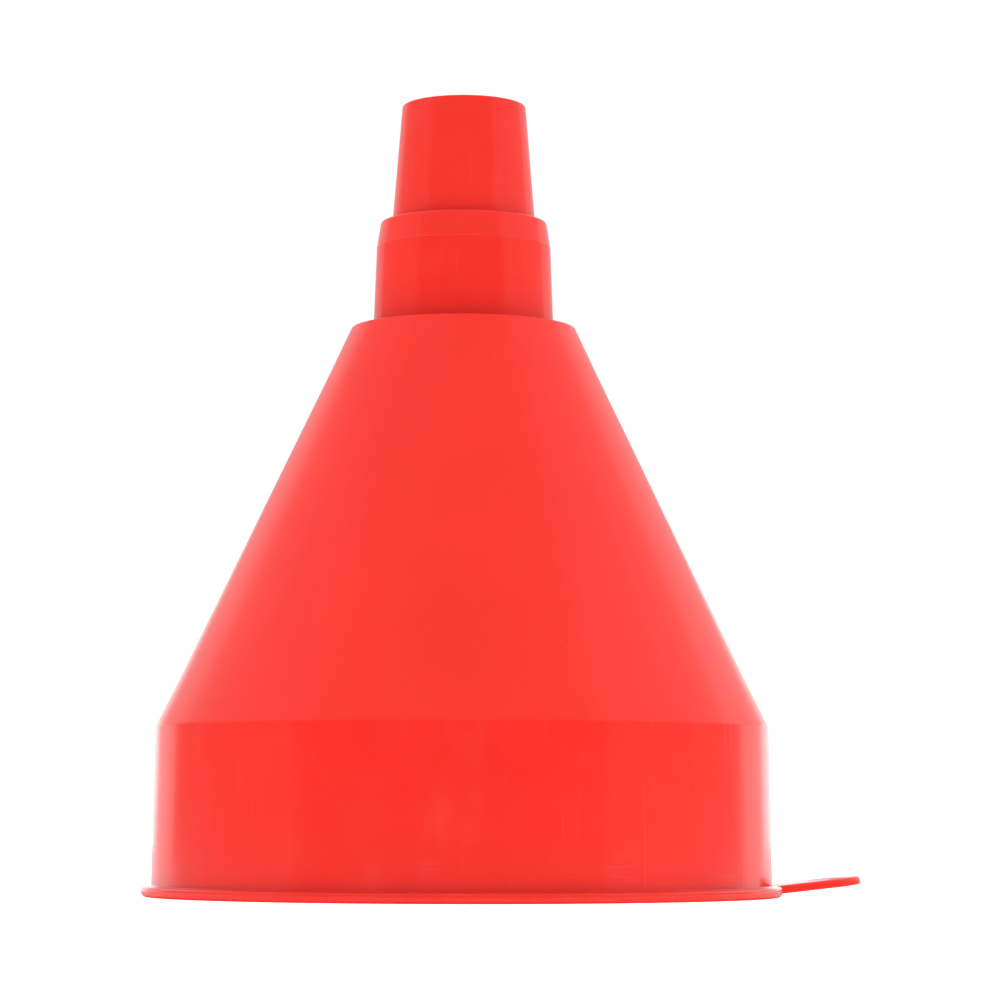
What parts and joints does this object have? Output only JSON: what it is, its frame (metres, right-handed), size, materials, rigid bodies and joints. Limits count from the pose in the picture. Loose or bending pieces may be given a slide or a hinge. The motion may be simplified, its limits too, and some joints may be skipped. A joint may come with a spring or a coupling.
{
  "type": "funnel",
  "caption": "Stepped plastic fluid funnel with a straight splash wall, hanging tab, push-on outlet spout and plug-in gauze strainer, standing mouth down.",
  "frame": {"origin": "on the funnel's axis, in the plane of the rim that it stands on", "axes": "+Z along the funnel's axis from the mouth up to the outlet, +X through the middle of the hanging tab, +Y to the tab's left seen from above"},
  "size_m": [0.2277, 0.2, 0.25],
  "materials": {
    "funnel_plastic": "moulded, semi-gloss",
    "strainer_plastic": "moulded, satin",
    "brass_gauze": "woven wire cloth"
  },
  "bodies": {
    "hopper": {"hopper": "funnel_plastic"},
    "spout": {"spout": "funnel_plastic"},
    "strainer": {"strainer_frame": "strainer_plastic", "strainer_gauze": "brass_gauze", "strainer_clamp_ring": "strainer_plastic"}
  },
  "joints": [
    {"name": "spout_pull_off", "type": "slide", "parent": "hopper", "child": "spout", "axis": [0, 0, 1], "range_m": [0, 0.06]},
    {"name": "strainer_pull_out", "type": "slide", "parent": "hopper", "child": "strainer", "axis": [0, 0, -1], "range_m": [0, 0.2]}
  ]
}
